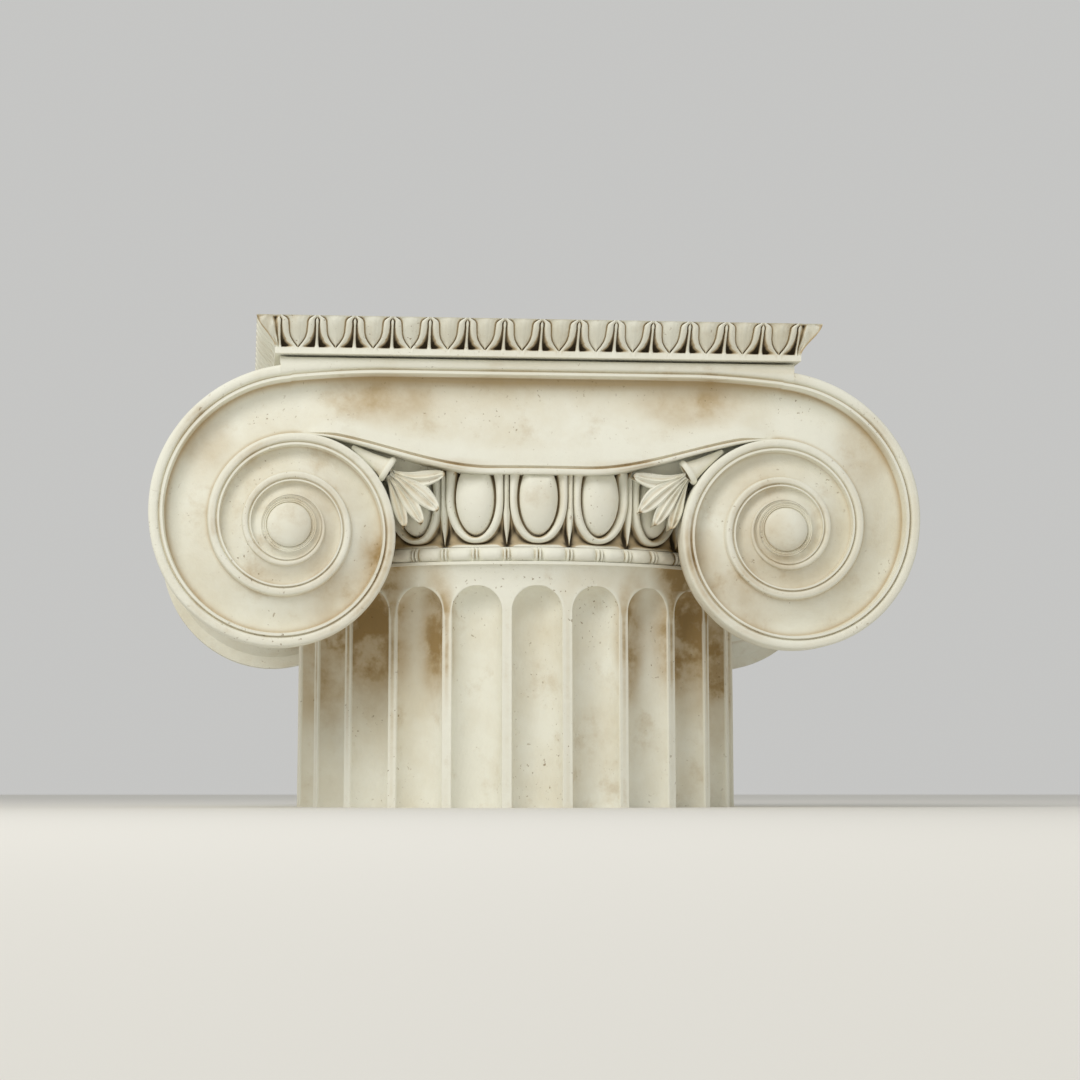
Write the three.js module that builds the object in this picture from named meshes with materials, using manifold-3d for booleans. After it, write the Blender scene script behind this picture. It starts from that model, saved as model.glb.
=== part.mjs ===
// An Ionic capital on the top of its fluted shaft, carved in limestone. Millimetres, +Z up, front towards -Y.
// The origin is on the shaft's axis, on the flat cut at its foot.
import * as THREE from 'three';
import { mergeVertices } from 'three/addons/utils/BufferGeometryUtils.js';
import Module from 'manifold-3d';

// ---- driving dimensions ----
const shaftRadius = 450;            // over the fillets between the flutes, at the top of the shaft
const bedJoint = 0.3;               // joint between the shaft's block and the capital's block

// levels above the cut
const fluteTop = 427;
const neckTop = 466;
const astragalFoot = 472.5;
const astragalTop = 500;
const lipLevelAtCentre = 640;
const lipFlatHalf = 90;             // the lip is level this far either side of the centre line
const bandTop = 858;
const abacusFoot = 862;
const abacusFilletTop = 873;
const abacusTop = 930;

// shaft
const fluteCount = 24;
const filletWidth = 0.044 * shaftRadius;
const shaftFootRadius = 1.005 * shaftRadius;
const neckTopRadius = 1.03 * shaftRadius;
const astragalRadius = 1.055 * shaftRadius;
const beadCount = 48;

// cushion, volutes and bolsters
const faceDistance = 1.10 * shaftRadius;    // axis to the plane of the volutes' rims
const eyeX = 478;                   // axis to the volutes' eyes
const eyeLevel = 535.5;
const firstReach = 266;             // eye to the outer edge of the rim, straight out from the axis
const shrinkPerTurn = 0.579;
const eyeRingRadius = 53;
const eyeRadius = 42.6;
const eyeRise = 18;
const channelDepth = 38;
const slabDepth = 62;               // rims' plane to the back of the carved slab
const bolsterWaist = 0.56;          // section at the bolster's middle, as a share of its end
const strapHalfWidth = 42;
const neckClearance = 487;          // radius that the volutes' backs are hollowed to, around the shaft

// egg and dart
const eggCount = 24;
const echinusFootRadius = 1.04 * shaftRadius;
const echinusRadius = 1.08 * shaftRadius;
const eggLevel = 600;               // where an egg is widest
const eggFoot = 526;
const shellFoot = 514;
const plainBeyond = 0.87;           // sine of the angle off the front or back where the eggs stop

// abacus
const abacusFootHalf = 508;
const abacusTopHalf = 545;
const leavesPerSide = 14;
const leafRunHalf = 500;            // centre line to the last dart, beside the corner
const leafRelief = 9;

// how finely round stretches are cut into facets
const frontTurnSteps = 20;          // facets in one turn of a volute
const backTurnSteps = 14;
const bandSteps = 5;
const roundSteps = 48;

// ---- materials ----
const limestone = new THREE.MeshStandardMaterial({ color: 0xe3e0d2, roughness: 0.85, metalness: 0 });
const shaftLimestone = new THREE.MeshStandardMaterial({ color: 0xddd8c6, roughness: 0.88, metalness: 0 });

// ---- solids from shapes; a shape is { points, triangles } ----
const wasm = await Module();
wasm.setup();

/** A closed solid, mirrored across x = 0 or y = 0 where flipX or flipY is -1. */
function solidOf(shape, flipX = 1, flipY = 1) {
  const geometry = new THREE.BufferGeometry();
  const placed = shape.points.flatMap(([x, y, z]) => [x * flipX, y * flipY, z]);
  geometry.setAttribute('position', new THREE.Float32BufferAttribute(placed, 3));
  geometry.setIndex(shape.triangles.flat());
  return solidFromGeometry(geometry);
}

function solidFromGeometry(source) {
  const bare = source.clone();
  bare.deleteAttribute('normal');
  bare.deleteAttribute('uv');
  const merged = mergeVertices(bare, 1e-3);
  const triangles = [];
  for (let i = 0; i < merged.index.count; i += 3) {
    const [a, b, c] = [0, 1, 2].map((k) => merged.index.getX(i + k));
    if (a !== b && b !== c && c !== a) triangles.push([a, b, c]);
  }
  const vertProperties = new Float32Array(merged.attributes.position.array);
  const build = (list) => new wasm.Manifold(new wasm.Mesh({
    numProp: 3, vertProperties, triVerts: new Uint32Array(list.flat()) }));
  const solid = build(triangles);
  return solid.volume() > 0 ? solid : build(triangles.map(([a, b, c]) => [a, c, b]));
}

/** The geometry of a solid, for its mesh. */
function geometryOf(solid) {
  const { vertProperties, triVerts } = solid.getMesh();
  const geometry = new THREE.BufferGeometry();
  geometry.setAttribute('position', new THREE.BufferAttribute(new Float32Array(vertProperties), 3));
  geometry.setIndex(new THREE.BufferAttribute(new Uint32Array(triVerts), 1));
  geometry.computeVertexNormals();
  return geometry;
}

function joined(solids) {
  return solids.reduce((whole, next) => whole.add(next));
}

/** A shape through rings of points: each ring a closed loop, the first and the last filled flat. */
function loft(rings) {
  const count = rings[0].length;
  const triangles = [];
  for (let r = 0; r + 1 < rings.length; r++) {
    for (let i = 0; i < count; i++) {
      const a = r * count + i;
      const b = r * count + (i + 1) % count;
      triangles.push([a, b, b + count], [a, b + count, a + count]);
    }
  }
  const last = (rings.length - 1) * count;
  triangles.push(...fill(rings[0]).map(([a, b, c]) => [a, c, b]));
  triangles.push(...fill(rings.at(-1)).map(([a, b, c]) => [a + last, b + last, c + last]));
  return { points: rings.flat(), triangles };
}

/** Triangles that fill a flat closed loop of points, whatever plane it lies in. */
function fill(loop) {
  const points = loop.map((p) => new THREE.Vector3(...p));
  const normal = new THREE.Vector3();
  points.forEach((p, i) => normal.add(new THREE.Vector3().crossVectors(p, points[(i + 1) % points.length])));
  const turn = new THREE.Quaternion().setFromUnitVectors(normal.normalize(), new THREE.Vector3(0, 0, 1));
  const flat = points.map((p) => p.applyQuaternion(turn)).map((p) => new THREE.Vector2(p.x, p.y));
  return THREE.ShapeUtils.triangulateShape(flat, []);
}

/** A closed shape turned about the Z axis. Its profile of [radius, height] starts and ends on the axis. */
function turned(profile, steps = roundSteps) {
  const geometry = new THREE.LatheGeometry(profile.map(([r, z]) => new THREE.Vector2(r, z)), steps);
  return geometry.rotateX(Math.PI / 2);
}

function block(low, high) {
  const size = high.map((h, k) => h - low[k]);
  const centre = high.map((h, k) => (h + low[k]) / 2);
  return solidFromGeometry(new THREE.BoxGeometry(...size).translate(...centre));
}

function polar(radius, angle, z) {
  return [radius * Math.cos(angle), radius * Math.sin(angle), z];
}

function smooth(share) {
  const s = Math.min(1, Math.max(0, share));
  return s * s * (3 - 2 * s);
}

// ---- volutes: everything here is the left volute of the front ----

/** Reach of the spiral's outer edge, so many turns after the top of its first turn. */
function spiralReach(turns) {
  return Math.max(eyeRingRadius, firstReach * shrinkPerTurn ** (turns - 0.25));
}

const turnsToEye = 0.25 + Math.log(eyeRingRadius / firstReach) / Math.log(shrinkPerTurn);

function onVolute(reach, turns, y) {
  const angle = Math.PI / 2 + turns * 2 * Math.PI;
  return [-eyeX + reach * Math.cos(angle), y, eyeLevel + reach * Math.sin(angle)];
}

/** Level of the band's upper edge: flat along the cushion, easing down to meet the spiral. */
function bandEdge(x) {
  const drop = bandTop - (eyeLevel + spiralReach(0));
  return bandTop - drop * (Math.abs(x) / eyeX) ** 4;
}

/** Level of the channel's lower lip: an S from the centre line up to the second turn of the volute. */
function lipLevel(x) {
  const meeting = eyeLevel + spiralReach(1);
  const share = (Math.abs(x) - lipFlatHalf) / (eyeX - lipFlatHalf);
  return lipLevelAtCentre + (meeting - lipLevelAtCentre) * smooth(share);
}

// across one turn: [share of the way to the next turn's edge, depth as a share of the channel's]
const acrossTurn = [[0, 0], [0.135, 0], [0.20, 0.95], [0.95, 0.5]];

/** The carved slab of half a face: the spiral channel and its rim, and half of the cushion's channel. */
function faceSlab(turnSteps) {
  const lastStep = Math.ceil(turnSteps * turnsToEye);
  const rows = acrossTurn.length;
  const points = [];
  const start = -bandSteps;
  const at = (step, row) => (row < rows ? (step - start) * rows + row : endOfRow(step));
  const lipStart = (lastStep + 1 - start) * rows;
  const ringStart = lipStart + bandSteps;
  // a turn's last row is the next turn's first, before the spiral it is the lip, at its end the eye's ring
  const endOfRow = (step) => {
    if (step < 0) return lipStart + step - start;
    const inner = step + turnSteps;
    return inner <= lastStep ? at(inner, 0) : ringStart + inner - lastStep - 1;
  };
  for (let step = start; step <= lastStep; step++) {
    const turns = step / turnSteps;
    const x = -eyeX * (1 - step / start);
    for (const [share, depth] of acrossTurn) {
      const width = spiralReach(turns) - spiralReach(turns + 1);
      const y = -faceDistance + depth * channelDepth * Math.min(1, width / 110);
      if (step < 0) {
        points.push([x, y, bandEdge(x) + (lipLevel(x) - bandEdge(x)) * share]);
      } else {
        points.push(onVolute(spiralReach(turns) - width * share, turns, y));
      }
    }
  }
  for (let step = start; step < 0; step++) {
    const x = -eyeX * (1 - step / start);
    points.push([x, -faceDistance, lipLevel(x)]);
  }
  for (let step = lastStep - turnSteps + 1; step <= lastStep; step++) {
    points.push(onVolute(eyeRingRadius, step / turnSteps, -faceDistance));
  }
  const triangles = [];
  for (let step = start; step < lastStep; step++) {
    for (let row = 0; row < rows; row++) {
      const [a, b, c, d] = [at(step, row), at(step + 1, row), at(step + 1, row + 1), at(step, row + 1)];
      triangles.push([a, b, c], [a, c, d]);
    }
  }
  const ring = [at(lastStep, 0)];
  for (let k = 0; k < turnSteps; k++) ring.push(ringStart + k);
  const centre = points.push([-eyeX, -faceDistance, eyeLevel]) - 1;
  for (let k = 0; k + 1 < ring.length; k++) triangles.push([centre, ring[k], ring[k + 1]]);
  // the outline, and the same outline on the slab's back
  const outline = [];
  for (let step = start; step <= turnSteps; step++) outline.push(at(step, 0));
  for (let step = -1; step >= start; step--) outline.push(at(step, rows));
  for (let row = rows - 1; row > 0; row--) outline.push(at(start, row));
  const back = points.length;
  const backLoop = outline.map((k) => [points[k][0], slabDepth - faceDistance, points[k][2]]);
  points.push(...backLoop);
  outline.forEach((k, i) => {
    const next = (i + 1) % outline.length;
    triangles.push([k, back + i, back + next], [k, back + next, outline[next]]);
  });
  triangles.push(...fill(backLoop).map(([a, b, c]) => [a + back, c + back, b + back]));
  return { points, triangles };
}

/** The domed eye in its ring, standing a little proud of the rims. */
function eye() {
  const profile = [[0, -5], [eyeRingRadius - 1, 3], [eyeRadius + 3, 3], [eyeRadius, 1]];
  profile.push([eyeRadius * 0.7, eyeRise * 0.7], [0, eyeRise]);
  const geometry = turned(profile, 12);
  geometry.rotateX(Math.PI / 2).translate(-eyeX, -faceDistance, eyeLevel);
  return geometry;
}

/** The left bolster: the volute's outline carried from front to back, waisted, a strap round its middle. */
function bolster() {
  const turnSteps = 20;
  const half = faceDistance - slabDepth / 2;
  const inset = 3;                  // inside the slab's own outline, so that the two meet cleanly
  const anchor = [-eyeX, eyeLevel + spiralReach(0) - inset];
  const ring = (y, swell) => {
    const share = (Math.abs(y) / half) ** 2.2;
    const scale = bolsterWaist + (0.985 - bolsterWaist) * share + swell;
    const loop = [];
    for (let step = 0; step <= turnSteps; step++) {
      const [x, , z] = onVolute(spiralReach(step / turnSteps) - inset, step / turnSteps, y);
      loop.push([anchor[0] + (x - anchor[0]) * scale, y, anchor[1] + (z - anchor[1]) * scale]);
    }
    return loop;
  };
  const swell = 0.035;
  const rings = [];
  const outward = [1, 0.8, 0.58, 0.34].map((share) => share * half);
  outward.forEach((y) => rings.push(ring(-y, 0)));
  rings.push(ring(-strapHalfWidth, 0), ring(-strapHalfWidth + 1, swell));
  rings.push(ring(strapHalfWidth - 1, swell), ring(strapHalfWidth, 0));
  outward.reverse().forEach((y) => rings.push(ring(y, 0)));
  return loft(rings);
}

const palmetteFoot = [-283, 634];
const palmetteTips = [[-182, 635], [-192, 575], [-222, 547], [-256, 538]];
const calyx = [[-292, 612], [-370, 684], [-368, 700], [-262, 658]];

/** The small palmette in the corner between the left volute and the channel's lip: a fan out of a calyx. */
function palmette() {
  const outline = [];
  palmetteTips.forEach(([x, z], i) => {
    outline.push([x, z, 4]);
    const next = palmetteTips[i + 1];
    if (!next) return;
    const valley = [0, 1].map((k) => palmetteFoot[k] + 0.55 * (([x, z][k] + next[k]) / 2 - palmetteFoot[k]));
    outline.push([...valley, 20]);
  });
  outline.push(...calyx.map(([x, z], i) => [x, z, i === 3 ? 8 : 16]));
  const ring = (extra) => outline.map(([x, z, depth]) => [x, -faceDistance + (extra || depth), z]);
  return loft([ring(50), ring(0)]);
}

// ---- egg and dart ----

/** Share of half an egg's bay, from its centre (0) to the dart (1), where a curve has this greatest width. */
function bayWidth(z, foot, greatest) {
  if (z >= eggLevel) return greatest;
  return z <= foot ? 0 : greatest * Math.sqrt(1 - ((eggLevel - z) / (eggLevel - foot)) ** 2);
}

function echinus() {
  const levels = [astragalTop + bedJoint, 513, 536, eggLevel, 652];
  const halfBay = Math.PI / eggCount;
  const radiusAt = (z) => {
    const share = Math.min(1, (z - levels[0]) / (eggLevel - levels[0]));
    return echinusFootRadius + (echinusRadius - echinusFootRadius) * Math.sin((share * Math.PI) / 2);
  };
  const rings = levels.map((z, level) => {
    const egg = Math.max(0.05, bayWidth(z, eggFoot, 0.6));
    const shell = Math.max(0.18, bayWidth(z, shellFoot, 0.90));
    const relief = level === 0 ? 0 : 1;
    const inEgg = z > eggFoot ? 0 : -8;
    // from an egg's centre to the dart: [share of the half bay, height against the ovolo]
    const bay = [[0, inEgg], [egg, -17], [(egg + shell) / 2 + 0.03, -3], [shell + 0.04, -18], [1, -5]];
    const mirrored = bay.slice(1, -1).reverse().map(([share, rise]) => [2 - share, rise]);
    const loop = [];
    for (let k = 0; k < eggCount; k++) {
      // under the bolsters the moulding is left plain
      const plain = Math.abs(Math.sin((2 * Math.PI * k) / eggCount)) > plainBeyond;
      for (const [share, rise] of plain ? [[0, 0], [1, 0]] : [...bay, ...mirrored]) {
        const angle = -Math.PI / 2 + (2 * k + share) * halfBay;
        loop.push(polar(radiusAt(z) + rise * relief, angle, z));
      }
    }
    return loop;
  });
  return loft(rings);
}

// ---- abacus ----

/** The square moulding on top, with its leaves and darts, mitred at the corners. */
function abacus() {
  const levels = [abacusFilletTop, (abacusFilletTop + abacusTop) / 2, abacusTop];
  const halves = [abacusFootHalf, (abacusFootHalf + abacusTopHalf) / 2 + 3, abacusTopHalf - 2];
  const reliefs = [0, leafRelief, 2];
  // across one leaf, from dart to dart: [share of the leaf, relief]
  const across = [[0, 0.9], [0.32, -1], [0.5, 0.6], [0.68, -1]];
  const perSide = leavesPerSide * across.length;
  const points = [];
  const triangles = [];
  levels.forEach((z, level) => {
    for (let side = 0; side < 4; side++) {
      const turn = (side * Math.PI) / 2;
      for (let k = 0; k < perSide; k++) {
        const [share, rise] = across[k % across.length];
        const leaves = Math.floor(k / across.length) + share;
        const along = ((2 * leaves) / leavesPerSide - 1) * (k === 0 ? halves[level] : leafRunHalf);
        const out = halves[level] + (k === 0 ? 0 : rise * reliefs[level]);
        const x = along * Math.cos(turn) + out * Math.sin(turn);
        points.push([x, along * Math.sin(turn) - out * Math.cos(turn), z]);
      }
    }
  });
  const around = 4 * perSide;
  for (let level = 0; level < 2; level++) {
    for (let k = 0; k < around; k++) {
      const [a, b] = [level * around + k, level * around + (k + 1) % around];
      triangles.push([a, b, b + around], [a, b + around, a + around]);
    }
  }
  triangles.push(...fill(points.slice(2 * around)).map((t) => t.map((i) => i + 2 * around)));
  // the fillet below: one flat face a side, and the underside
  const foot = points.length;
  for (let side = 0; side < 4; side++) {
    const [x, y] = points[side * perSide];
    points.push([x, y, abacusFoot]);
    const [low, nextLow] = [foot + side, foot + (side + 1) % 4];
    triangles.push([low, nextLow, ((side + 1) % 4) * perSide]);
    for (let k = 0; k < perSide; k++) {
      const a = side * perSide + k;
      triangles.push([low, (a + 1) % around, a]);
    }
  }
  triangles.push([foot, foot + 2, foot + 1], [foot, foot + 3, foot + 2]);
  return solidOf({ points, triangles });
}

// ---- the capital's block ----

function capitalSolid() {
  const frontSlab = faceSlab(frontTurnSteps);
  const backSlab = faceSlab(backTurnSteps);
  const roll = bolster();
  const fan = palmette();
  const sides = [-1, 1];
  const bolsters = joined([solidOf(roll), solidOf(roll, -1)]);
  const faces = [];
  for (const flipX of sides) {
    faces.push(solidOf(frontSlab, flipX), solidOf(backSlab, flipX, -1));
  }
  const coreHalfDepth = faceDistance - slabDepth + 5;
  const coreHalfLength = eyeX + 8;
  const core = block([-coreHalfLength, -coreHalfDepth, 640], [coreHalfLength, coreHalfDepth, abacusFoot + 5]);
  const hollowTop = astragalTop + 3;
  const hollowProfile = [[0, 0], [neckClearance, 0], [neckClearance, hollowTop], [0, hollowTop]];
  const hollow = solidFromGeometry(turned(hollowProfile));
  const hung = joined([...faces, bolsters, core]).subtract(hollow);
  const trim = [];
  for (const flipX of sides) {
    for (const flipY of sides) {
      trim.push(solidOf(fan, flipX, flipY), solidFromGeometry(eye().scale(flipX, flipY, 1)));
    }
  }
  return joined([hung, solidOf(echinus()), abacus(), ...trim]);
}

// ---- the shaft's block ----

/** A tool the shape of one flute: a round-headed trough, to be cut from the shaft. */
function fluteTool(angle) {
  const width = (2 * Math.PI * shaftRadius) / fluteCount - filletWidth;
  const r = width / 2;
  const headSteps = 2;
  const profile = [[0, -60], [r, -60]];
  for (let k = 0; k < headSteps; k++) {
    const lift = (k / headSteps) * (Math.PI / 2);
    profile.push([r * Math.cos(lift), fluteTop - r + r * Math.sin(lift)]);
  }
  profile.push([0, fluteTop]);
  const [x, y] = polar(shaftRadius + 2, angle, 0);
  const facing = turned(profile, 8).rotateZ(angle);
  return solidFromGeometry(facing.translate(x, y, 0));
}

/** The bead-and-reel: long beads round the neck, with a pair of thin reels between each two. */
function astragal() {
  const middle = (astragalFoot + astragalTop) / 2;
  const half = (astragalTop - astragalFoot) / 2;
  const bay = (2 * Math.PI) / beadCount;
  // from a bead's middle: [share of the bay, height of the section as a share of the bead's]
  const across = [[-0.34, 1], [0.34, 1], [0.5, 0.3]];
  const neck = echinusFootRadius - 6;
  const bulge = astragalRadius - neck;
  const rings = [-1, -0.6, 0.6, 1].map((share) => {
    const loop = [];
    for (let k = 0; k < beadCount; k++) {
      for (const [along, size] of across) {
        const angle = -Math.PI / 2 + (k + 0.5 + along) * bay;
        const out = neck + bulge * size * Math.sqrt(1 - share * share * 0.9);
        loop.push(polar(out, angle, middle + half * share));
      }
    }
    return loop;
  });
  return loft(rings);
}

function shaftTopSolid() {
  const drum = [[0, 0], [shaftFootRadius, 0], [shaftRadius, fluteTop + 4], [neckTopRadius - 3, neckTop]];
  drum.push([neckTopRadius + 2, neckTop], [neckTopRadius + 2, astragalFoot], [0, astragalFoot]);
  const flutes = [];
  for (let k = 0; k < fluteCount; k++) flutes.push(fluteTool(-Math.PI / 2 + (k * 2 * Math.PI) / fluteCount));
  // the drum's edges fall within the flutes, so that each fillet is one facet wide
  const body = turned(drum, 2 * fluteCount).rotateZ(Math.PI / (2 * fluteCount));
  return solidFromGeometry(body).subtract(joined(flutes)).add(solidOf(astragal()));
}

// ---- the object ----
function named(name, solid, material) {
  const mesh = new THREE.Mesh(geometryOf(solid), material);
  mesh.name = name;
  return mesh;
}

const group = new THREE.Group();
group.add(named('capital', capitalSolid(), limestone));
group.add(named('shaft_top', shaftTopSolid(), shaftLimestone));
export default group;
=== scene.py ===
"""An Ionic capital on the top of its fluted shaft, carved in limestone and weathered outdoors."""

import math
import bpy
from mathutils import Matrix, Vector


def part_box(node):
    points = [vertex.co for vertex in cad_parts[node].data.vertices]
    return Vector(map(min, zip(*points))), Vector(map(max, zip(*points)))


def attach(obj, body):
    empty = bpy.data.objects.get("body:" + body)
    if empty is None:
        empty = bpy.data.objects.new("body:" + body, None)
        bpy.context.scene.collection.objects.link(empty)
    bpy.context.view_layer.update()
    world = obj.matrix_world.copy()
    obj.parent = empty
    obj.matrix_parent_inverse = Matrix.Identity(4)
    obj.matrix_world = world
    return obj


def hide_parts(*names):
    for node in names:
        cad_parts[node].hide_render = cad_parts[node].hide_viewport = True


bl_info = {
    "name": "Ionic capital",
    "version": (1, 0, 0),
    "blender": (4, 5, 0),
    "location": "View3D > Sidebar > Capital",
    "description": "Carves an Ionic capital: volutes, bolsters, egg and dart, bead and reel, leaf and dart",
    "category": "Object",
}

import bmesh
import bpy
import numpy as np
from bpy.props import FloatProperty, FloatVectorProperty, PointerProperty
from bpy.types import Operator, Panel, PropertyGroup
from mathutils import Matrix, Vector

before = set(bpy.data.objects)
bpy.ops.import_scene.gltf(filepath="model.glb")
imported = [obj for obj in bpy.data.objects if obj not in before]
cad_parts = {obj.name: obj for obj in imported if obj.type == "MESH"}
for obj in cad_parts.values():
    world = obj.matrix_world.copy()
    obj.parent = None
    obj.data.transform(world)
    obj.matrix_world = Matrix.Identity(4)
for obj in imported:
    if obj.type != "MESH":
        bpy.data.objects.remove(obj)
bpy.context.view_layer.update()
TOP_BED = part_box("capital")[1][2]

MM = 0.001
WELD = 0.02 * MM                # points closer than this are one
BAY_WELD = 0.05 * MM            # and where one carved bay meets the next
FRONT = -math.pi / 2            # angle of the front, seen from above
FLUTES = 24
EGGS = 24
BEADS = 48
LEAVES = 14                     # along each side of the abacus


# ---- small maths, on single numbers and on arrays alike ----

def smooth(share):
    """Ease from 0 to 1."""
    s = np.clip(share, 0.0, 1.0)
    return s * s * (3 - 2 * s)


def bump(x, centre, half):
    """A rounded hill of height 1, half wide either side of its centre."""
    return np.clip(1 - ((x - centre) / half) ** 2, 0, None) ** 0.5


def mix(a, b, share):
    return a + (b - a) * share


def wobble(x, y, z, size):
    """The slight unevenness of a hand-dressed face: a sum of slow waves of about this size, from -1 to 1."""
    a = np.sin(x / size * 2.1 + 1.3 * np.sin(z / size * 1.7 + 0.4) + 0.8)
    b = np.sin(z / size * 2.6 + 1.1 * np.sin(y / size * 2.2 + 1.9) + 2.1)
    c = np.sin((x + y - z) / size * 1.4 + 1.6 * np.sin(x / size * 0.9))
    return (a + b + c) / 3


# ---- sizes ----

def length(name, description, millimetres):
    return FloatProperty(name=name, description=description, default=millimetres * MM, unit="LENGTH",
                         precision=4)


class CapitalSizes(PropertyGroup):
    shaft_radius: length("Shaft radius", "Over the fillets between the flutes", 450)
    face_distance: length("Face distance", "From the axis to the plane of the volutes' rims", 495)
    eye_x: length("Eye distance", "From the axis to the eye of each volute, across the front", 478)
    eye_level: length("Eye level", "Height of the volutes' eyes", 535.5)
    reach: length("Volute reach", "From the eye straight out to the outer edge of the rim", 264.8)
    shrink: FloatProperty(name="Shrink", description="Each turn's size as a share of the turn outside it",
                          default=0.579, min=0.3, max=0.9)
    rim: length("Rim width", "Width of the bead and fillet at the top of the volute", 28)
    channel: length("Channel depth", "Depth of the channel below the rims", 38)
    abacus_foot: length("Abacus foot", "Half the width of the abacus's fillet", 508)
    abacus_top: length("Abacus top", "Half the width of the abacus at the top", 544.5)


def linear(code):
    """An sRGB hex colour as linear red, green and blue."""
    channels = [((code >> shift) & 255) / 255 for shift in (16, 8, 0)]
    return tuple(c / 12.92 if c <= 0.04045 else ((c + 0.055) / 1.055) ** 2.4 for c in channels)


def colour(name, description, code):
    return FloatVectorProperty(name=name, description=description, subtype="COLOR", size=3, min=0, max=1,
                               default=linear(code))


class CapitalColours(PropertyGroup):
    pale: colour("Pale stone", "Washed, sunlit limestone", 0xEDECDF)
    cream: colour("Cream stone", "The stone's warmer beds", 0xE0DAC6)
    # ochre also lies in the hollows, as painted shade with some dust
    ochre: colour("Ochre stain", "Iron stain left where water stood", 0xB39868)
    # umber colours the middle of the stains, the painted shade under the volutes, and the pits
    umber: colour("Umber stain", "Old dust and water marks under the volutes", 0x8C7550)
    # this colour is painted shade, laid into the deepest cuts
    deep_cut_shade: colour("Grime", "Soot and lichen in the deepest cuts", 0x352C1C)
    floor: colour("Floor", "Plain pale floor", 0xE3E1DB)


def sizes():
    """The sizes in millimetres."""
    group = bpy.context.scene.capital_sizes
    return {name: getattr(group, name) / MM for name in (
        "shaft_radius", "face_distance", "eye_x", "eye_level", "reach", "rim", "channel",
        "abacus_foot", "abacus_top")} | {"shrink": group.shrink}


# ---- making meshes ----

def grid(columns, rows, place):
    """A bmesh grid whose points are set by place(column, row), in millimetres."""
    bm = bmesh.new()
    bmesh.ops.create_grid(bm, x_segments=columns, y_segments=rows, size=0.5)
    mesh = bpy.data.meshes.new("carving")
    bm.to_mesh(mesh)
    bm.free()
    index = np.arange(len(mesh.vertices))
    points = np.stack(place(index % (columns + 1), index // (columns + 1)), axis=1) * MM
    mesh.vertices.foreach_set("co", points.astype(np.float32).ravel())
    bm = bmesh.new()
    bm.from_mesh(mesh)
    bpy.data.meshes.remove(mesh)
    bmesh.ops.remove_doubles(bm, verts=bm.verts, dist=WELD)
    return bm


def carried_back(bm, y):
    """Carry the outline of a carved face straight back to y, and close it there."""
    outline = [edge for edge in bm.edges if edge.is_boundary]
    made = bmesh.ops.extrude_edge_only(bm, edges=outline)["geom"]
    for vert in (item for item in made if isinstance(item, bmesh.types.BMVert)):
        vert.co.y = y * MM
    bmesh.ops.holes_fill(bm, edges=[item for item in made if isinstance(item, bmesh.types.BMEdge)], sides=0)


def capped(bm):
    """Close every open ring with a flat face."""
    bmesh.ops.holes_fill(bm, edges=[edge for edge in bm.edges if edge.is_boundary], sides=0)


def with_mirror(bm, axis):
    """Add the same carving on the other side of the middle, across x (0) or y (1)."""
    both = bmesh.ops.duplicate(bm, geom=bm.verts[:] + bm.edges[:] + bm.faces[:])["geom"]
    scale = [1, 1, 1]
    scale[axis] = -1
    bmesh.ops.scale(bm, vec=scale, verts=[item for item in both if isinstance(item, bmesh.types.BMVert)])
    bmesh.ops.reverse_faces(bm, faces=[item for item in both if isinstance(item, bmesh.types.BMFace)])


def turned(profile, steps):
    """A closed turned solid about the Z axis, from [radius, height] points in millimetres."""
    bm = bmesh.new()
    verts = [bm.verts.new((r * MM, 0, z * MM)) for r, z in profile]
    edges = [bm.edges.new(pair) for pair in zip(verts, verts[1:])]
    bmesh.ops.spin(bm, geom=verts + edges, axis=(0, 0, 1), cent=(0, 0, 0), angle=2 * math.pi,
                   steps=steps, use_merge=True)
    bmesh.ops.remove_doubles(bm, verts=bm.verts, dist=WELD)
    return bm


def join(whole, part):
    """Move one bmesh's faces into another."""
    mesh = bpy.data.meshes.new("part")
    part.to_mesh(mesh)
    part.free()
    whole.from_mesh(mesh)
    bpy.data.meshes.remove(mesh)


def at_flat_end(z):
    """True within a millimetre of the shaft's foot or of the top bed, which are cut flat."""
    return (z < 1 * MM) | (z > TOP_BED - 1 * MM)


def dressed(bm, amount=0.45):
    """Leave the faces uneven by about this many millimetres, as hand tools and weather do."""
    bm.normal_update()
    co = np.array([vert.co[:] for vert in bm.verts]) / MM
    normal = np.array([vert.normal[:] for vert in bm.verts])
    x, y, z = co.T
    broad, small = wobble(x, y, z, 95), wobble(z + 31, x - 17, y, 21)
    rise = amount * (0.7 * broad + 0.3 * small - 0.5)
    rise = np.where(at_flat_end(z * MM), 0, rise)
    for vert, moved in zip(bm.verts, (co + normal * rise[:, None]) * MM):
        vert.co = moved


def piece(name, bm, cad_node, material, sharp=40, hollow_shade_and_dust=0.35):
    """Finish a carved piece as an object that rides on the body and stands for its CAD node.

    Edges are crisp past sharp degrees, and the last argument is how much of a hollow's depth is painted as
    shade and dust.
    """
    bmesh.ops.recalc_face_normals(bm, faces=bm.faces)
    dressed(bm)
    mesh = bpy.data.meshes.new(name)
    bm.to_mesh(mesh)
    bm.free()
    mesh.shade_smooth()
    mesh.set_sharp_from_angle(angle=math.radians(sharp))
    mark_hollows(mesh, hollow_shade_and_dust)
    mesh.materials.append(material)
    obj = bpy.data.objects.new(name, mesh)
    bpy.context.scene.collection.objects.link(obj)
    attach(obj, "root")
    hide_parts(cad_node)


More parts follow.
